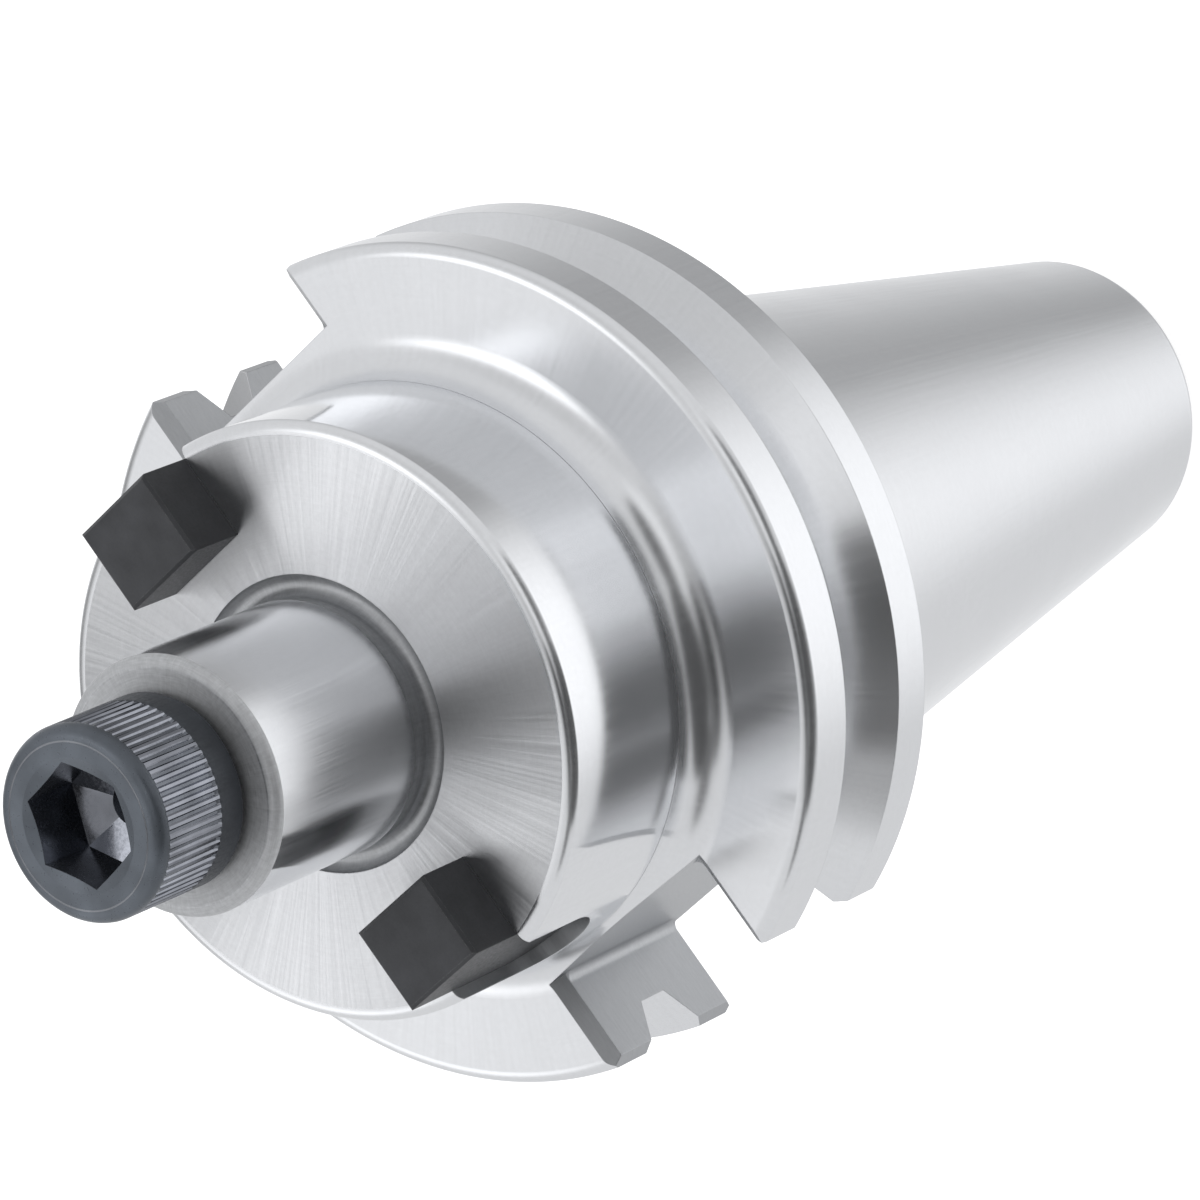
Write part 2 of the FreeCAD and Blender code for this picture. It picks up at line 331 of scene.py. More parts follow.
def turned_steel(name, color, roughness, stretch, marks, fans, mark_size=0.05, mottle=0.07):
    """Bright steel with marks that run round the axis, as a lathe or a grinder leaves them.

    stretch is how far the marks draw out a reflection, marks the strength of their relief,
    fans how much the roughness changes round the axis, mark_size the width of a mark in mm,
    and mottle how much darker the darkest marks are.
    """
    material = bpy.data.materials.new(name)
    tree, shader = nodes_of(material)
    shader.inputs["Metallic"].default_value = 1.0
    shader.inputs["Anisotropic"].default_value = stretch
    shader.inputs["Anisotropic Rotation"].default_value = 0.25
    tangent = tree.nodes.new("ShaderNodeTangent")
    tangent.direction_type = "RADIAL"
    tangent.axis = "Z"
    tree.links.new(tangent.outputs[0], shader.inputs["Tangent"])

    vector, w = turned_coordinates(tree, MARK_CELLS, 1 / (mark_size * MM))
    fine = noise(tree, vector, w, 1.0, 2.0)
    fan_vector, fan_w = turned_coordinates(tree, FAN_CELLS, FAN_ACROSS)
    fan = noise(tree, fan_vector, fan_w, 1.0, 3.0)
    place = tree.nodes.new("ShaderNodeTexCoord").outputs["Object"]
    cloud = noise(tree, place, None, STEEL_CLOUD, 3.0)
    speck = noise(tree, place, None, STEEL_SPECK, 3.0)

    mix = tree.nodes.new("ShaderNodeMix")
    mix.data_type = "RGBA"
    mix.inputs["A"].default_value = (*[c * (1 - mottle) for c in color], 1)
    mix.inputs["B"].default_value = (*color, 1)
    tones = [ranged(tree, grain, 0.0, 0.33) for grain in (fine, speck, fan)]
    tree.links.new(combined(tree, tones, "ADD", 0.0), mix.inputs["Factor"])
    tree.links.new(mix.outputs["Result"], shader.inputs["Base Color"])

    rough = tree.nodes.new("ShaderNodeMath")
    rough.operation = "ADD"
    tree.links.new(ranged(tree, fan, roughness - fans, roughness + fans), rough.inputs[0])
    tree.links.new(ranged(tree, cloud, -0.02, 0.02), rough.inputs[1])
    tree.links.new(rough.outputs[0], shader.inputs["Roughness"])
    bumped(tree, shader, [(fine, marks, 0.004)], 0.12)
    return material


def milled_steel():
    """Slot and keyway walls: an even matte grey with fine cutter marks."""
    material = bpy.data.materials.new("milled_steel")
    tree, shader = nodes_of(material)
    shader.inputs["Metallic"].default_value = 1.0
    place = tree.nodes.new("ShaderNodeTexCoord").outputs["Object"]
    squash = tree.nodes.new("ShaderNodeMapping")
    squash.inputs["Scale"].default_value = MILLED_MARKS
    tree.links.new(place, squash.inputs["Vector"])
    marks = noise(tree, squash.outputs[0], None, 1.0, 3.0)
    grain = noise(tree, place, None, MILLED_GRAIN, 2.0)
    mix = tree.nodes.new("ShaderNodeMix")
    mix.data_type = "RGBA"
    mix.inputs["A"].default_value = (0.45, 0.46, 0.475, 1)
    mix.inputs["B"].default_value = (0.55, 0.56, 0.575, 1)
    tree.links.new(marks, mix.inputs["Factor"])
    tree.links.new(mix.outputs["Result"], shader.inputs["Base Color"])
    tree.links.new(ranged(tree, grain, 0.34, 0.46), shader.inputs["Roughness"])
    bumped(tree, shader, [(marks, 0.15, 0.01), (grain, 0.1, 0.01)], 0.1)
    return material


def black_oxide(name, color, metallic, roughness, grain_strength, edge_radius, sheen=1.0):
    """Blackened steel with a fine grain and worn edges. A low sheen darkens grazing angles."""
    material = bpy.data.materials.new(name)
    tree, shader = nodes_of(material)
    shader.inputs["Metallic"].default_value = metallic
    shader.inputs["Specular Tint"].default_value = (sheen, sheen, sheen, 1)
    place = tree.nodes.new("ShaderNodeTexCoord").outputs["Object"]
    grain = noise(tree, place, None, OXIDE_GRAIN, 3.0)
    cloud = noise(tree, place, None, OXIDE_CLOUD, 4.0)
    mix = tree.nodes.new("ShaderNodeMix")
    mix.data_type = "RGBA"
    mix.inputs["A"].default_value = (*color, 1)
    mix.inputs["B"].default_value = (*[c * 1.5 for c in color], 1)
    tree.links.new(ranged(tree, cloud, 0.0, 1.0), mix.inputs["Factor"])
    worn = tree.nodes.new("ShaderNodeMix")
    worn.data_type = "RGBA"
    worn.inputs["B"].default_value = (*[0.12 + c for c in color], 1)
    tree.links.new(mix.outputs["Result"], worn.inputs["A"])
    tree.links.new(edge_wear(tree, edge_radius, grain), worn.inputs["Factor"])
    tree.links.new(worn.outputs["Result"], shader.inputs["Base Color"])
    rough = ranged(tree, grain, roughness - 0.08, roughness + 0.08)
    tree.links.new(rough, shader.inputs["Roughness"])
    bumped(tree, shader, [(grain, grain_strength, 0.02)], edge_radius)
    return material


BRIGHT = (0.90, 0.91, 0.93)
GROUND = turned_steel("ground_steel", BRIGHT, 0.20, 0.75, 0.05, 0.03)
EDGE = turned_steel("edge_steel", (0.91, 0.92, 0.94), 0.20, 0.95, 0.0, 0.01)
SHOULDER = turned_steel("shoulder_steel", BRIGHT, 0.10, 0.70, 0.03, 0.008)
PILOT = turned_steel("pilot_steel", (0.89, 0.90, 0.92), 0.16, 0.90, 0.05, 0.03)
TURNED = turned_steel("turned_steel", (0.93, 0.94, 0.96), 0.37, 1.0, 0.06, 0.07, 0.05, 0.14)
FACED = turned_steel("faced_steel", BRIGHT, 0.13, 1.0, 0.02, 0.010)
MATTE = turned_steel("matte_steel", (0.62, 0.63, 0.645), 0.42, 0.2, 0.5, 0.05, 0.10, 0.32)
NOSE = turned_steel("nose_steel", (0.80, 0.81, 0.825), 0.62, 0.0, 0.5, 0.05, 0.10, 0.32)
WORN = turned_steel("worn_steel", (0.84, 0.85, 0.87), 0.50, 0.2, 0.8, 0.05, 0.10, 0.5)
MILLED = milled_steel()
KEY_BLACK = black_oxide("key_black", (0.030, 0.031, 0.034), 0.3, 0.44, 0.25, 0.15)
SCREW_BLACK = black_oxide("screw_black", (0.078, 0.088, 0.102), 0.5, 0.34, 0.10, 0.06)
KNURL_WORN = black_oxide("knurl_worn", (0.25, 0.26, 0.29), 1.0, 0.15, 0.02, 0.012, 0.2)
SOCKET_BLACK = black_oxide("socket_black", (0.14, 0.15, 0.17), 0.9, 0.22, 0.03, 0.05)
# Lighter black on the fine lip round the head's face: a painted highlight for the thin bright line
# there.
LIP_PAINTED_HIGHLIGHT = black_oxide("lip_painted_highlight", (0.24, 0.25, 0.27), 1.0, 0.35, 0.6, 0.05)
# Rougher, darker copy of the screw's black for the band at the head's foot: its darkness is painted
# shade beside the gap to the nose.
SHADED_FOOT_BLACK = black_oxide("shaded_foot_black", (0.042, 0.047, 0.055), 0.5, 0.40, 0.10, 0.05)
STEELS = [GROUND, EDGE, SHOULDER, PILOT, TURNED, FACED, MATTE, NOSE, WORN, MILLED]
HEAD_BLACKS = [SCREW_BLACK, KNURL_WORN, SOCKET_BLACK, SHADED_FOOT_BLACK, LIP_PAINTED_HIGHLIGHT]


# Arbor body

def taper_radius(z):
    return GAUGE_RADIUS + TAPER_SLOPE * z


def body_runs():
    """The arbor's closed half section as smooth runs, each a steel and its (r, z) points."""
    runs = []

    def run(steel, points):
        if runs:
            points = [runs[-1][1][-1]] + list(points)
        runs.append((steel, list(points)))

    bevel_r, bevel_z = SMALL_END_BEVEL
    end_r = taper_radius(SMALL_END_Z) - bevel_r
    bevel_top = SMALL_END_Z + bevel_z
    neck_z = FLANGE_REAR_Z - NECK_WIDTH
    neck_r = taper_radius(neck_z) - NECK_DEPTH
    groove_run = GROOVE_DEPTH * math.tan(math.radians(GROOVE_WALL_ANGLE))
    groove_root = FLANGE_RADIUS - GROOVE_DEPTH
    rim_start = (FLANGE_RADIUS, FLANGE_FRONT_Z - RIM_EDGE[1])
    rim_end = (FLANGE_RADIUS - RIM_EDGE[0], FLANGE_FRONT_Z)
    fillet_reach = FILLET_RADIUS * math.cos(math.radians(FILLET_CREASE_ANGLE))
    fillet_centre = (GAUGE_RADIUS + fillet_reach, FLANGE_FRONT_Z + FILLET_RADIUS)
    crease_z = fillet_centre[1] - FILLET_RADIUS * math.sin(math.radians(FILLET_CREASE_ANGLE))
    edge_start = (GAUGE_RADIUS, SHOULDER_Z - SHOULDER_EDGE[1])
    edge_end = (GAUGE_RADIUS - SHOULDER_EDGE[0], SHOULDER_Z)
    root_r = PILOT_RADIUS - PILOT_ROOT_DEPTH
    relief_radius = (RELIEF_OUTER - root_r) / 2
    relief_centre = ((RELIEF_OUTER + root_r) / 2, SHOULDER_Z - RELIEF_DEPTH + relief_radius)
    root_top = SHOULDER_Z + PILOT_ROOT_HEIGHT
    nose_start = (PILOT_RADIUS, NOSE_Z - NOSE_EDGE[1])
    nose_end = (PILOT_RADIUS - NOSE_EDGE[0], NOSE_Z)
    mouth = SCREW_HOLE_RADIUS + SCREW_MOUTH_BEVEL
    register_z = SMALL_END_Z + STUD_REGISTER_DEPTH
    stud_floor = SMALL_END_Z + STUD_HOLE_DEPTH
    drill_slope = 1 / math.tan(math.radians(DRILL_HALF_ANGLE))
    coolant_top = SCREW_HOLE_FLOOR_Z - (SCREW_HOLE_RADIUS - COOLANT_RADIUS) * drill_slope
    coolant_foot = stud_floor + (STUD_THREAD_MAJOR - COOLANT_RADIUS) * drill_slope

    run(TURNED, [(STUD_REGISTER_RADIUS + HOLE_BEVEL, SMALL_END_Z), (end_r, SMALL_END_Z)])
    taper_start = (taper_radius(bevel_top), bevel_top)
    run(GROUND, rounded((end_r, SMALL_END_Z), taper_start, SMALL_END_SWELL)[1:])
    run(GROUND, [(taper_radius(neck_z), neck_z)])
    run(MATTE, [(neck_r, neck_z + NECK_DEPTH)])
    run(MATTE, [(neck_r, FLANGE_REAR_Z)])
    run(FACED, [(FLANGE_RADIUS - REAR_BEVEL, FLANGE_REAR_Z)])
    run(FACED, [(FLANGE_RADIUS, FLANGE_REAR_Z + REAR_BEVEL)])
    run(GROUND, [(FLANGE_RADIUS, GROOVE_LOW_Z)])
    run(FACED, [(groove_root, GROOVE_LOW_Z + groove_run)])
    run(FACED, [(groove_root, GROOVE_HIGH_Z - groove_run)])
    run(FACED, [(FLANGE_RADIUS, GROOVE_HIGH_Z)])
    run(GROUND, [rim_start])
    run(EDGE, rounded(rim_start, rim_end, EDGE_SWELL)[1:])
    run(FACED, [(fillet_centre[0], FLANGE_FRONT_Z)])
    run(EDGE, arc(fillet_centre, FILLET_RADIUS, 270, 180 + FILLET_CREASE_ANGLE, 20)[1:])
    run(MATTE, [(GAUGE_RADIUS, crease_z + CREASE_WIDTH)])
    run(SHOULDER, [edge_start])
    run(EDGE, rounded(edge_start, edge_end, EDGE_SWELL)[1:])
    run(TURNED, [(RELIEF_OUTER, SHOULDER_Z)])
    run(MATTE, [(RELIEF_OUTER, relief_centre[1])])
    run(MATTE, arc(relief_centre, relief_radius, 0, -180, 14)[1:])
    run(MATTE, [(root_r, root_top)])
    run(MATTE, [(PILOT_RADIUS, root_top + PILOT_ROOT_BEVEL)])
    run(PILOT, [nose_start])
    run(NOSE, rounded(nose_start, nose_end, NOSE_SWELL)[1:])
    run(WORN, [(nose_end[0] - NOSE_WORN_WIDTH, NOSE_Z)])
    run(NOSE, [(mouth, NOSE_Z)])
    run(MATTE, [(SCREW_HOLE_RADIUS, NOSE_Z - SCREW_MOUTH_BEVEL)])
    run(MATTE, [(SCREW_HOLE_RADIUS, SCREW_HOLE_FLOOR_Z)])
    run(MATTE, [(COOLANT_RADIUS, coolant_top)])
    run(MATTE, [(COOLANT_RADIUS, coolant_foot)])
    run(MATTE, [(STUD_THREAD_MAJOR, stud_floor)])
    run(MATTE, [(STUD_THREAD_MAJOR, register_z)])
    run(MATTE, [(STUD_REGISTER_RADIUS, register_z)])
    run(MATTE, [(STUD_REGISTER_RADIUS, SMALL_END_Z + HOLE_BEVEL)])
    run(MATTE, [(STUD_REGISTER_RADIUS + HOLE_BEVEL, SMALL_END_Z)])
    return runs


def lathe(name, runs, columns):
    """Closed solid turned from the runs. The last point meets the first."""
    points = []
    steels = []
    for steel, run in runs:
        for point in run[1:]:
            points.append(point)
            steels.append(STEELS.index(steel))
    points = [runs[0][1][0]] + points[:-1]
    verts = []
    for r, z in points:
        for column in range(columns):
            angle = 2 * math.pi * column / columns
            verts.append((r * math.cos(angle), r * math.sin(angle), z))
    faces = []
    indices = []
    rows = len(points)
    for row in range(rows):
        above = (row + 1) % rows
        for column in range(columns):
            beside = (column + 1) % columns
            faces.append((
                row * columns + column, row * columns + beside,
                above * columns + beside, above * columns + column,
            ))
            indices.append(steels[row])
    return new_object(name, verts, faces, STEELS, indices)


def prism_mesh(parts):
    """One mesh of separate prisms, each an outline of points and a vector to sweep it along."""
    mesh = bmesh.new()
    for outline, along in parts:
        low = [mesh.verts.new(Vector(p) * MM) for p in outline]
        high = [mesh.verts.new((Vector(p) + Vector(along)) * MM) for p in outline]
        mesh.faces.new(low)
        mesh.faces.new(high[::-1])
        count = len(outline)
        for i in range(count):
            mesh.faces.new((low[(i + 1) % count], low[i], high[i], high[(i + 1) % count]))
    bmesh.ops.recalc_face_normals(mesh, faces=mesh.faces)
    return mesh


def cut(target, parts, steel):
    """Cuts the prisms out of the target, and gives the cut faces that steel."""
    mesh = prism_mesh(parts)
    data = bpy.data.meshes.new("cutter")
    mesh.to_mesh(data)
    mesh.free()
    for material in STEELS:
        data.materials.append(material)
    data.polygons.foreach_set("material_index", [STEELS.index(steel)] * len(data.polygons))
    cutter = bpy.data.objects.new("cutter", data)
    bpy.context.scene.collection.objects.link(cutter)
    change = target.modifiers.new("cut", "BOOLEAN")
    change.operation = "DIFFERENCE"
    change.solver = "EXACT"
    change.object = cutter
    result = bpy.data.meshes.new_from_object(
        target.evaluated_get(bpy.context.evaluated_depsgraph_get())
    )
    target.modifiers.clear()
    target.data = result
    bpy.data.objects.remove(cutter)


def slot_cutters(side, floor):
    """Outlines that cut one drive slot, and the bevels along the flange's faces."""
    half = SLOT_WIDTH / 2
    reach = 2 * FLANGE_RADIUS
    low = FLANGE_REAR_Z - NECK_WIDTH / 2
    high = FLANGE_FRONT_Z + FILLET_RADIUS + SLOT_OVERRUN
    corner_r = math.sqrt(FLANGE_RADIUS ** 2 - half ** 2)
    turn = math.asin(half / FLANGE_RADIUS) + SLOT_RIM_BEVEL / FLANGE_RADIUS
    foot = (corner_r - SLOT_RIM_BEVEL, half)
    rim = (FLANGE_RADIUS * math.cos(turn), FLANGE_RADIUS * math.sin(turn))
    flare = (reach, foot[1] + (rim[1] - foot[1]) / (rim[0] - foot[0]) * (reach - foot[0]))
    corner_centre = (floor + SLOT_CORNER_RADIUS, half - SLOT_CORNER_RADIUS)
    edge = arc(corner_centre, SLOT_CORNER_RADIUS, 180, 90, 10) + [foot, flare]
    outline = edge + [(x, -y) for x, y in reversed(edge)]
    main = [([(side * x, side * y, low) for x, y in outline], (0, 0, high - low))]

    inner = half - SLOT_CORNER_RADIUS
    outer = half + SLOT_FACE_BEVEL
    bevels = []
    for face_z, inwards, far_z in ((FLANGE_FRONT_Z, -1, high), (FLANGE_REAR_Z, 1, low)):
        bevel_z = face_z + inwards * SLOT_FACE_BEVEL
        for turn in (1, -1):
            wedge = [(inner, bevel_z), (half, bevel_z), (outer, face_z)]
            wedge += [(outer, far_z), (inner, far_z)]
            points = [(side * floor, turn * y, z) for y, z in wedge]
            bevels.append((points, (side * (reach - floor), 0, 0)))
    return main, bevels


def keyway_cutter(side):
    half = KEYWAY_WIDTH / 2
    straight = SHOULDER_Z - KEYWAY_LENGTH + half
    mill_top = SHOULDER_Z + KEYWAY_OVERRUN
    end = arc((0, straight), half, 180, 360, 32)
    outline = end + [(half, mill_top), (-half, mill_top)]
    points = [(side * KEYWAY_FLOOR, y, z) for y, z in outline]
    return [(points, (side * 2 * FLANGE_RADIUS, 0, 0))]


def smooth_run_normals(runs):
    """Ends and unit normals of every segment of the runs, smooth within a run."""
    starts, ends, start_normals, end_normals = [], [], [], []
    for _, run in runs:
        points = np.array(run)
        along = np.diff(points, axis=0)
        along /= np.linalg.norm(along, axis=1)[:, None]
        flat = np.stack([along[:, 1], -along[:, 0]], 1)
        joints = np.vstack([flat[:1], flat[:-1] + flat[1:], flat[-1:]])
        if len(flat) > 2:
            joints[0] = 3 * flat[0] - flat[1]
            joints[-1] = 3 * flat[-1] - flat[-2]
        joints /= np.linalg.norm(joints, axis=1)[:, None]
        starts.append(points[:-1])
        ends.append(points[1:])
        start_normals.append(joints[:-1])
        end_normals.append(joints[1:])
    return [np.vstack(part) for part in (starts, ends, start_normals, end_normals)]


def set_turned_normals(obj, runs, flat_index):
    """Gives turned faces the exact normals of their section, and cut faces their flat ones."""
    starts, ends, start_normals, end_normals = smooth_run_normals(runs)
    mesh = obj.data
    faces = len(mesh.polygons)
    loops = len(mesh.loops)
    totals = np.empty(faces, int)
    mesh.polygons.foreach_get("loop_total", totals)
    material = np.empty(faces, int)
    mesh.polygons.foreach_get("material_index", material)
    centres = np.empty(faces * 3)
    mesh.polygons.foreach_get("center", centres)
    centres = centres.reshape(-1, 3) / MM
    flats = np.empty(faces * 3)
    mesh.polygons.foreach_get("normal", flats)
    flats = flats.reshape(-1, 3)
    corners = np.empty(loops, int)
    mesh.loops.foreach_get("vertex_index", corners)
    places = np.empty(len(mesh.vertices) * 3)
    mesh.vertices.foreach_get("co", places)
    places = places.reshape(-1, 3)[corners] / MM

    section = np.stack([np.hypot(centres[:, 0], centres[:, 1]), centres[:, 2]], 1)
    spans = ends - starts
    lengths = (spans ** 2).sum(1)
    nearest = np.empty(faces, int)
    for first in range(0, faces, FACE_BLOCK):
        block = section[first:first + FACE_BLOCK, None, :] - starts[None]
        share = np.clip((block * spans[None]).sum(2) / lengths, 0, 1)
        gap = ((block - share[..., None] * spans[None]) ** 2).sum(2)
        nearest[first:first + FACE_BLOCK] = gap.argmin(1)

    segment = np.repeat(nearest, totals)
    corner_section = np.stack([np.hypot(places[:, 0], places[:, 1]), places[:, 2]], 1)
    share = ((corner_section - starts[segment]) * spans[segment]).sum(1) / lengths[segment]
    share = np.clip(share, 0, 1)[:, None]
    normal = start_normals[segment] * (1 - share) + end_normals[segment] * share
    angle = np.arctan2(places[:, 1], places[:, 0])
    turned = np.stack([normal[:, 0] * np.cos(angle), normal[:, 0] * np.sin(angle), normal[:, 1]], 1)
    flat = np.repeat(flats, totals, axis=0)
    is_cut = np.repeat(material == flat_index, totals)[:, None]
    chosen = np.where(is_cut, flat, turned)
    mesh.polygons.foreach_set("use_smooth", [True] * faces)
    mesh.normals_split_custom_set([tuple(n) for n in chosen])


def make_arbor_body():
    runs = body_runs()
    body = lathe("arbor_body_finished", runs, COLUMNS)
    mains = []
    bevels = []
    for side, floor in zip((1, -1), SLOT_FLOORS):
        main, edge = slot_cutters(side, floor)
        mains += main
        bevels += edge
    keyways = keyway_cutter(1) + keyway_cutter(-1)
    cut(body, mains + keyways, MILLED)
    cut(body, bevels, MILLED)
    set_turned_normals(body, runs, STEELS.index(MILLED))
    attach(body, "arbor")
    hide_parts("arbor_body")
    return body


# Screw and threads

def grid_surface(name, rows, materials, indices=None):
    """Surface of rows of points that each close on themselves."""
    verts = [point for row in rows for point in row]
    columns = len(rows[0])
    faces = []
    for row in range(len(rows) - 1):
        for column in range(columns):
            beside = (column + 1) % columns
            faces.append((
                row * columns + column, row * columns + beside,
                (row + 1) * columns + beside, (row + 1) * columns + column,
            ))
    return new_object(name, verts, faces, materials, indices)


def thread_wave(height, angle, pitch):
    """Share of a thread's depth, from 0 at its root to 1 at its crest."""
    phase = (height / pitch - angle / (2 * math.pi)) % 1.0
    ramp = 1 - abs(2 * phase - 1)
    return min(max(1.6 * ramp - 0.3, 0.0), 1.0)


def threaded_rows(low, high, root, crest, pitch, fade):
    """Rows of a threaded surface between two heights, with its ends faded to the root."""
    count = round((high - low) / pitch * THREAD_ROWS)
    rows = []
    for step in range(count + 1):
        z = low + (high - low) * step / count
        strength = min(1.0, (z - low) / fade, (high - z) / fade)
        row = []
        for column in range(THREAD_COLUMNS):
            angle = 2 * math.pi * column / THREAD_COLUMNS
            r = root + (crest - root) * thread_wave(z, angle, pitch) * strength
            row.append((r * math.cos(angle), r * math.sin(angle), z))
        rows.append(row)
    return rows


def hex_radius(angle):
    """Distance from the axis to the socket's wall in a direction."""
    turned = (math.degrees(angle) - HEX_TURN) % 60 - 30
    return HEX_ACROSS_FLATS / 2 / math.cos(math.radians(turned))


def knurl_fall(ridge_share):
    """Share of the knurl's depth across one pitch, with the crest in the middle."""
    off_crest = abs(ridge_share - 0.5) * 2
    return min(max((off_crest - KNURL_FLAT_SHARE) / (1 - 2 * KNURL_FLAT_SHARE), 0.0), 1.0)


def make_screw_head():
    """Head of the lock screw, from its foot round the knurl and down into the socket."""
    columns = KNURL_COUNT * KNURL_FACETS
    angles = [math.radians(HEX_TURN) + 2 * math.pi * c / columns for c in range(columns)]

    def circle(r, z):
        return [(r * math.cos(a), r * math.sin(a), z) for a in angles]

    def knurled(z, depth):
        row = []
        for column, angle in enumerate(angles):
            r = HEAD_RADIUS - depth * knurl_fall((column % KNURL_FACETS) / KNURL_FACETS)
            row.append((r * math.cos(angle), r * math.sin(angle), z))
        return row

    def on_crest(column):
        middle = (column + 0.5) % KNURL_FACETS
        return knurl_fall(middle / KNURL_FACETS) < KNURL_WORN_SHARE

    def hexagon(fall):
        row = []
        for angle in angles:
            r = hex_radius(angle)
            row.append((r * math.cos(angle), r * math.sin(angle), HEAD_FACE_Z - fall(r)))
        return row

    mouth = HEX_ACROSS_FLATS / math.sqrt(3) + HEX_MOUTH_BEVEL
    countersink = hexagon(lambda r: (mouth - r) * HEX_MOUTH_SLOPE)
    floor = HEAD_FACE_Z - HEX_DEPTH
    half_flats = HEX_ACROSS_FLATS / 2
    hole_radius, hole_depth = HEX_FLOOR_HOLE
    hole_z = floor - (half_flats - hole_radius) * HEX_FLOOR_SLOPE

    rows = [circle(NECK_RADIUS, HEAD_FOOT_Z), circle(HEAD_RADIUS - HEAD_FOOT_EDGE, HEAD_FOOT_Z)]
    rows.append(circle(HEAD_RADIUS - HEAD_FOOT_ROUND, HEAD_FOOT_Z + HEAD_FOOT_ROUND))
    rows.append(circle(HEAD_RADIUS, HEAD_FOOT_Z + HEAD_FOOT_EDGE))
    rows.append(circle(HEAD_RADIUS, KNURL_LOW_Z - KNURL_START))
    knurl_rows = [knurled(z, depth) for z, depth in zip(KNURL_HEIGHTS, KNURL_DEPTHS)]
    rows += knurl_rows
    rows.append(circle(HEAD_RADIUS, KNURL_HIGH_Z))
    edge_low = (HEAD_RADIUS, HEAD_FACE_Z - HEAD_EDGE_HEIGHT)
    edge = rounded(edge_low, (HEAD_FACE_RADIUS, HEAD_FACE_Z), HEAD_EDGE_BULGE, 10)
    rows += [circle(r, z) for r, z in edge]
    lip_width, lip_height = FACE_LIP
    rows.append(circle(HEAD_FACE_RADIUS - lip_width, HEAD_FACE_Z + lip_height))
    rows.append(circle(HEAD_FACE_RADIUS - 2 * lip_width, HEAD_FACE_Z))
    rows += [circle(mouth, HEAD_FACE_Z), countersink, hexagon(lambda r: HEX_DEPTH)]
    socket_row = rows.index(countersink)
    floor_row = socket_row + 1
    lip_row = socket_row - 4
    wide = hole_radius + HOLE_MOUTH_BEVEL
    rows += [circle(wide, floor - (half_flats - wide) * HEX_FLOOR_SLOPE)]
    rows += [circle(hole_radius, hole_z - HOLE_MOUTH_BEVEL)]
    rows += [circle(hole_radius, hole_z - hole_depth), circle(CENTRE_RADIUS, hole_z - hole_depth)]

    ridged = [KNURL_WORN if on_crest(column) else SOCKET_BLACK for column in range(columns)]
    blacks = []
    for row in range(len(rows) - 1):
        if row < rows.index(knurl_rows[0]):
            # Painted shade: the band at the foot takes the darker black.
            blacks += [SHADED_FOOT_BLACK] * columns
        elif row < rows.index(knurl_rows[-1]):
            blacks += ridged
        elif row in (lip_row, lip_row + 1):
            # Painted highlight: the fine lip round the face takes the lighter black.
            blacks += [LIP_PAINTED_HIGHLIGHT] * columns
        elif row < socket_row:
            blacks += [SCREW_BLACK] * columns
        elif row == floor_row:
            blacks += [KNURL_WORN] * columns
        else:
            blacks += [SOCKET_BLACK] * columns
    indices = [HEAD_BLACKS.index(black) for black in blacks]
    head = grid_surface("lock_screw_head", rows, HEAD_BLACKS, indices)
    finish_smooth(head, HEAD_SHARP_ANGLE)
    return head


def make_screw_shank():
    tip = HEAD_FOOT_Z - SHANK_LENGTH
    top = HEAD_FOOT_Z - NECK_LENGTH
    root = SHANK_RADIUS - THREAD_DEPTH
    rows = threaded_rows(tip + TIP_LENGTH, top, root, SHANK_RADIUS, THREAD_PITCH, THREAD_FADE)
    cap = [[(p[0] * share, p[1] * share, tip) for p in rows[0]] for share in (0.01, TIP_SHARE)]
    neck = []
    for p in rows[-1]:
        share = NECK_RADIUS / math.hypot(p[0], p[1])
        neck.append((p[0] * share, p[1] * share, HEAD_FOOT_Z))
    shank = grid_surface("lock_screw_shank", cap + rows + [neck], [SCREW_BLACK])
    finish_smooth(shank, THREAD_SHARP_ANGLE)
    return shank


def make_stud_thread():
    """Thread in the pull stud's hole, seen from below."""
    low = SMALL_END_Z + STUD_REGISTER_DEPTH
    high = SMALL_END_Z + STUD_HOLE_DEPTH
    root = STUD_THREAD_MAJOR - 0.02
    rows = threaded_rows(low, high, root, STUD_THREAD_RADIUS, STUD_THREAD_PITCH, STUD_THREAD_FADE)
    thread = grid_surface("pull_stud_thread", [row[::-1] for row in rows], [MATTE])
    finish_smooth(thread, THREAD_SHARP_ANGLE)
    return thread


def finish_smooth(obj, degrees):
    """Smooth shading, apart from edges sharper than the angle."""
    mesh = obj.data
    mesh.polygons.foreach_set("use_smooth", [True] * len(mesh.polygons))
    mesh.set_sharp_from_angle(angle=math.radians(degrees))
    mesh.update()


# Studio

def direction(azimuth, elevation):
    a = math.radians(azimuth)
    e = math.radians(elevation)
    return Vector((math.cos(a) * math.cos(e), math.sin(a) * math.cos(e), math.sin(e)))


# Soft lit and dark areas of the studio, each with the azimuth and elevation of its
# middle, its radius and soft border in degrees, and how much it adds to the surroundings.
PATCHES = (
    (70, -50, 14, 26, 0.42),     # bright panel beside the camera, below
    (235, -48, 16, 30, 0.30),    # bright panel behind, below
    (165, -52, 22, 30, -0.34),   # dim gap between them
    (211, 60, 8, 7, 0.95),       # bright panel behind, above
    (274, 33, 8, 8, 0.60),       # bright panel to the side, above
    (160, 52, 16, 14, -0.12),    # dimmer wall beside it
    (90, 54, 11, 6, 0.25),       # lit part of the roof over the camera's side
    (254, 52, 10, 14, 0.12),     # lit part of the roof that the flat faces show
    (20, 82, 10, 12, -0.28),     # dark gap overhead
    (246, 8, 18, 11, -0.45),     # dark band low behind
)
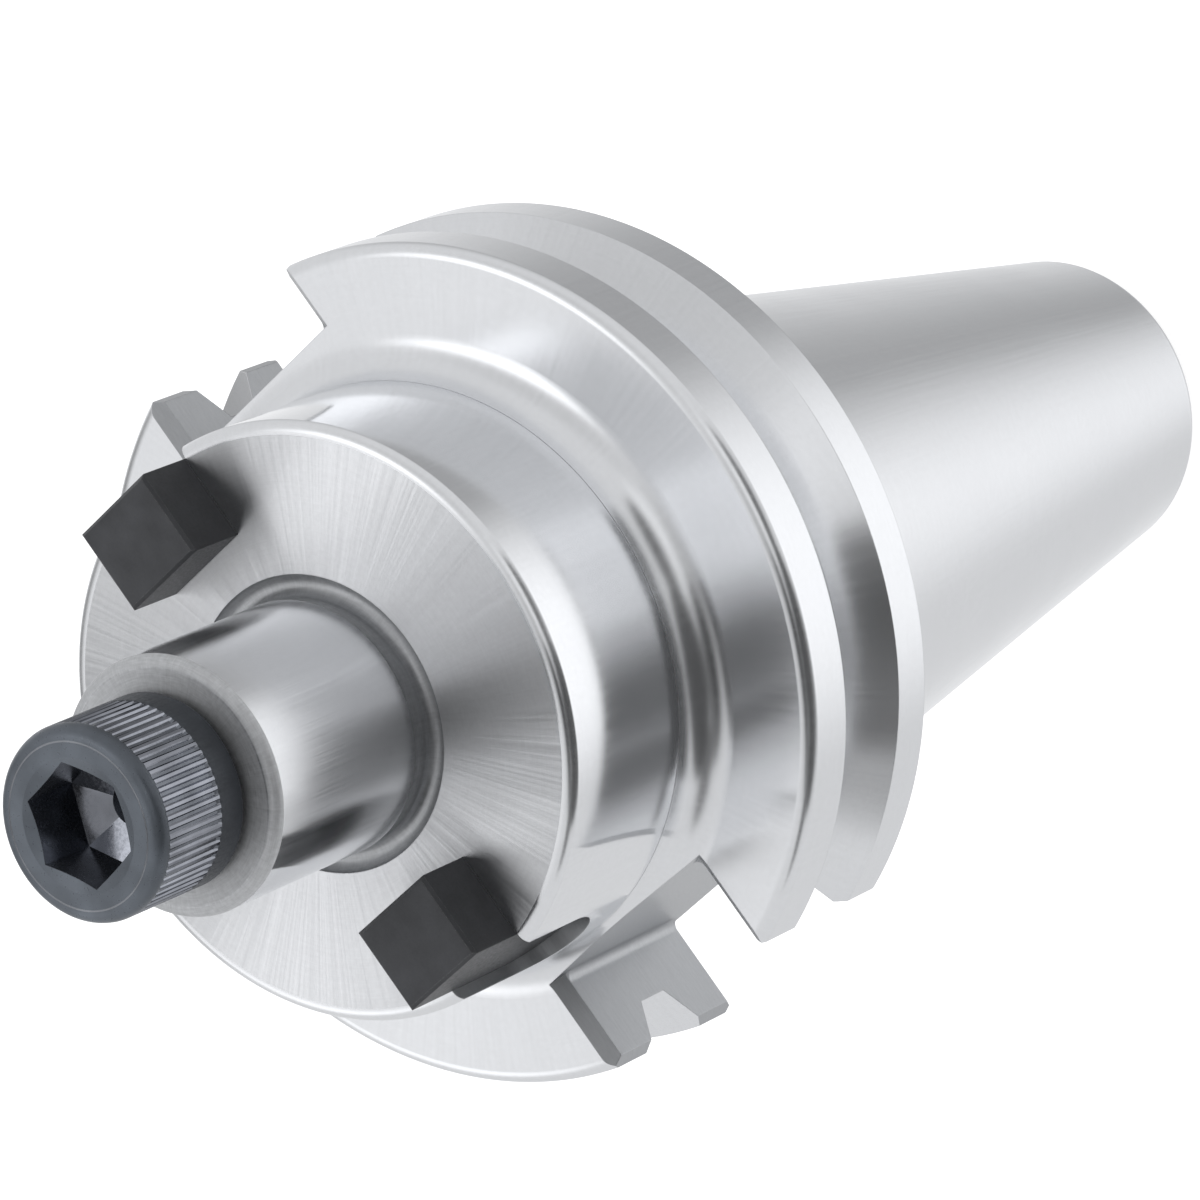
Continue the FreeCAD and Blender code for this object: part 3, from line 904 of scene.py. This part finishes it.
# Dark parts of the studio's open front. Where they overlap, only the darkest counts.
OPENINGS = (
    (42, 23, 29, 2.5, 0.64),       # round the camera
    (82, 29, 17, 2.5, 0.63),       # beside it
    (24, 66, 16, 2.5, 0.56),       # over the camera
    (6, 41, 13, 3.5, 0.58),        # on its other side
)
SURROUNDINGS = 0.72
DARKEST = 0.02
LAMPS = (
    ("key_lamp", 200, 62, 5.0),      # azimuth, elevation and power
    ("side_lamp", 330, 35, 3.0),
)
LAMP_DISTANCE = 0.9
LAMP_SIZE = 0.5
FLOOR_REACH = 600
FLOOR_GREY = 0.38
FLOOR_GLOW = 0.84               # brings the floor to white where the camera sees it


def patch_mask(tree, place, azimuth, elevation, radius, soft, amount):
    """The amount inside a round patch of the sky, falling to 0 across its soft border."""
    dot = tree.nodes.new("ShaderNodeVectorMath")
    dot.operation = "DOT_PRODUCT"
    dot.inputs[1].default_value = direction(azimuth, elevation)
    tree.links.new(place, dot.inputs[0])
    edge = tree.nodes.new("ShaderNodeMapRange")
    edge.interpolation_type = "SMOOTHSTEP"
    edge.inputs["From Min"].default_value = math.cos(math.radians(radius + soft))
    edge.inputs["From Max"].default_value = math.cos(math.radians(max(radius - soft, 0)))
    edge.inputs["To Min"].default_value = 0.0
    edge.inputs["To Max"].default_value = amount
    tree.links.new(dot.outputs["Value"], edge.inputs["Value"])
    return edge.outputs["Result"]


def make_world():
    world = bpy.data.worlds.new("studio")
    bpy.context.scene.world = world
    world.use_nodes = True
    tree = world.node_tree
    tree.nodes.clear()
    place = tree.nodes.new("ShaderNodeTexCoord").outputs["Generated"]
    lit_masks = [patch_mask(tree, place, *patch) for patch in PATCHES]
    dark_masks = [patch_mask(tree, place, *patch) for patch in OPENINGS]
    lit_part = combined(tree, lit_masks, "ADD", SURROUNDINGS)
    dark_part = combined(tree, dark_masks, "MAXIMUM", 0.0)
    total = tree.nodes.new("ShaderNodeMath")
    total.operation = "SUBTRACT"
    tree.links.new(lit_part, total.inputs[0])
    tree.links.new(dark_part, total.inputs[1])
    floor_value = tree.nodes.new("ShaderNodeMath")
    floor_value.operation = "MAXIMUM"
    floor_value.inputs[1].default_value = DARKEST
    tree.links.new(total.outputs[0], floor_value.inputs[0])
    lit = tree.nodes.new("ShaderNodeBackground")
    lit.inputs["Color"].default_value = (0.985, 0.99, 1.0, 1)
    tree.links.new(floor_value.outputs[0], lit.inputs["Strength"])
    white = tree.nodes.new("ShaderNodeBackground")
    white.inputs["Color"].default_value = (1, 1, 1, 1)
    rays = tree.nodes.new("ShaderNodeLightPath")
    mix = tree.nodes.new("ShaderNodeMixShader")
    tree.links.new(rays.outputs["Is Camera Ray"], mix.inputs[0])
    tree.links.new(lit.outputs[0], mix.inputs[1])
    tree.links.new(white.outputs[0], mix.inputs[2])
    out = tree.nodes.new("ShaderNodeOutputWorld")
    tree.links.new(mix.outputs[0], out.inputs[0])


def make_floor():
    """Plain white floor under the taper's small end. Metal sees the studio through it."""
    reach = FLOOR_REACH
    corners = [(-reach, -reach), (reach, -reach), (reach, reach), (-reach, reach)]
    corners = [(x, y, SMALL_END_Z) for x, y in corners]
    material = bpy.data.materials.new("floor_white")
    material.use_nodes = True
    tree = material.node_tree
    tree.nodes.clear()
    diffuse = tree.nodes.new("ShaderNodeBsdfDiffuse")
    diffuse.inputs["Color"].default_value = (FLOOR_GREY, FLOOR_GREY, FLOOR_GREY, 1)
    glow = tree.nodes.new("ShaderNodeEmission")
    rays = tree.nodes.new("ShaderNodeLightPath")
    level = tree.nodes.new("ShaderNodeMath")
    level.operation = "MULTIPLY"
    level.inputs[1].default_value = FLOOR_GLOW
    tree.links.new(rays.outputs["Is Camera Ray"], level.inputs[0])
    tree.links.new(level.outputs[0], glow.inputs["Strength"])
    both = tree.nodes.new("ShaderNodeAddShader")
    tree.links.new(diffuse.outputs[0], both.inputs[0])
    tree.links.new(glow.outputs[0], both.inputs[1])
    clear = tree.nodes.new("ShaderNodeBsdfTransparent")
    mix = tree.nodes.new("ShaderNodeMixShader")
    tree.links.new(rays.outputs["Is Glossy Ray"], mix.inputs[0])
    tree.links.new(both.outputs[0], mix.inputs[1])
    tree.links.new(clear.outputs[0], mix.inputs[2])
    out = tree.nodes.new("ShaderNodeOutputMaterial")
    tree.links.new(mix.outputs[0], out.inputs[0])
    floor = new_object("floor", corners, [(0, 1, 2, 3)], [material])


def make_lamp(name, azimuth, elevation, power):
    """Soft square lamp aimed at the middle of the object. Metal doesn't mirror it."""
    lamp = bpy.data.lights.new(name, "AREA")
    lamp.shape = "SQUARE"
    lamp.size = LAMP_SIZE
    lamp.energy = power
    obj = bpy.data.objects.new(name, lamp)
    bpy.context.scene.collection.objects.link(obj)
    place = direction(azimuth, elevation) * LAMP_DISTANCE
    obj.location = place
    obj.rotation_euler = place.to_track_quat("Z", "Y").to_euler()
    obj.visible_glossy = False


def make_camera():
    camera = bpy.data.cameras.new("camera")
    camera.sensor_width = SENSOR_WIDTH
    camera.lens = CAMERA_LENS
    camera.clip_start = 0.05
    camera.clip_end = 10.0
    obj = bpy.data.objects.new("camera", camera)
    bpy.context.scene.collection.objects.link(obj)
    right = Vector(CAMERA_RIGHT)
    up = Vector(CAMERA_UP)
    back = right.cross(up)
    turn = Matrix((right, up, back)).transposed().to_4x4()
    obj.matrix_world = Matrix.Translation(Vector(CAMERA_PLACE) * MM) @ turn
    bpy.context.scene.camera = obj


def main():
    bpy.context.scene.view_settings.view_transform = "Standard"
    make_camera()
    make_world()
    make_floor()
    for lamp in LAMPS:
        make_lamp(*lamp)
    make_arbor_body()
    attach(make_stud_thread(), "arbor")
    for piece in (make_screw_head(), make_screw_shank()):
        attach(piece, "screw")
        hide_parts("lock_screw")
    for name in ("drive_key_1", "drive_key_2"):
        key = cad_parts[name]
        key.data.materials.clear()
        key.data.materials.append(KEY_BLACK)


main()
